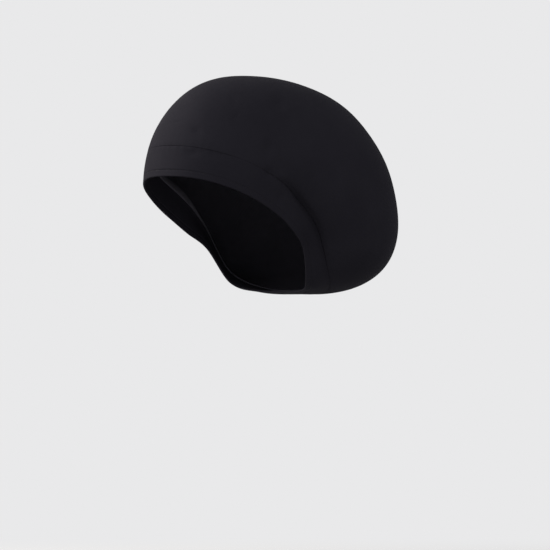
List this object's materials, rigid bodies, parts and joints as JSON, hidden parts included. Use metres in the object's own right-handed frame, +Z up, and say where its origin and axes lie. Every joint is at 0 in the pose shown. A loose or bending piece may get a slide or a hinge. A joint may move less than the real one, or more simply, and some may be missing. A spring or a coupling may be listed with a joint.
{
  "type": "wave cap",
  "caption": "Large round stretch-knit cap in its worn form, a hollow crown for a big volume of hair on a wide close band open at the face and nape.",
  "frame": {"origin": "middle of the head opening, level with the rim at the forehead", "axes": "+Z up, -Y towards the wearer's forehead, +X towards the wearer's left"},
  "size_m": [0.2312, 0.3068, 0.2312],
  "materials": {
    "crown_knit": "matte stretch jersey, smooth, a soft sheen on the turned sides",
    "band_knit": "matte stretch jersey, doubled, folded at the rim and sewn at the seam"
  },
  "bodies": {
    "root": {"crown": "crown_knit", "band": "band_knit"}
  },
  "joints": []
}
